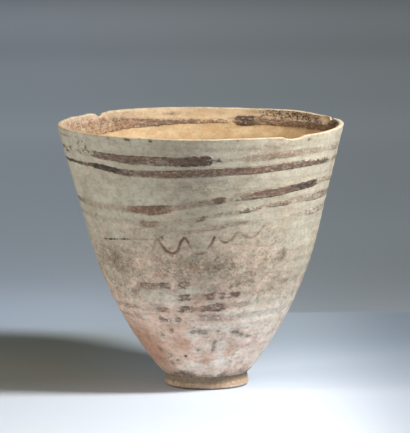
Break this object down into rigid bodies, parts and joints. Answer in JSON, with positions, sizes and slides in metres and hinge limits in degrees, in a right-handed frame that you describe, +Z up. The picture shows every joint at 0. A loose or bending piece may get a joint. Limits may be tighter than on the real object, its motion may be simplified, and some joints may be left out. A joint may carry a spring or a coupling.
{
  "type": "drinking cup",
  "caption": "Deep conical cup of fired clay on a small disc foot, slipped pale outside and painted with brushed bands and a wavy line, for holding a drink.",
  "frame": {"origin": "centre of the foot's flat underside, on the table", "axes": "+Z up out of the foot, -Y towards the viewer of the pictured side, +X to that viewer's right"},
  "size_m": [0.1795, 0.1796, 0.1681],
  "materials": {
    "foot_clay": "bare fired clay, matt and gritty",
    "slipped_clay": "matt greenish-cream slip, worn to pinkish clay towards the foot",
    "paint": "matt dark brown slip paint, flaked"
  },
  "bodies": {
    "root": {"foot_disc": "foot_clay", "lower_bowl": "slipped_clay", "upper_wall": "slipped_clay", "mouth_band": "paint", "collar_band_upper": "paint", "collar_band_lower": "paint", "middle_band_upper": "paint", "middle_band_centre": "paint", "middle_band_lower": "paint", "wavy_line": "paint", "lower_band_1": "paint", "lower_band_2": "paint", "lower_band_3": "paint", "lower_band_4": "paint"}
  },
  "joints": []
}
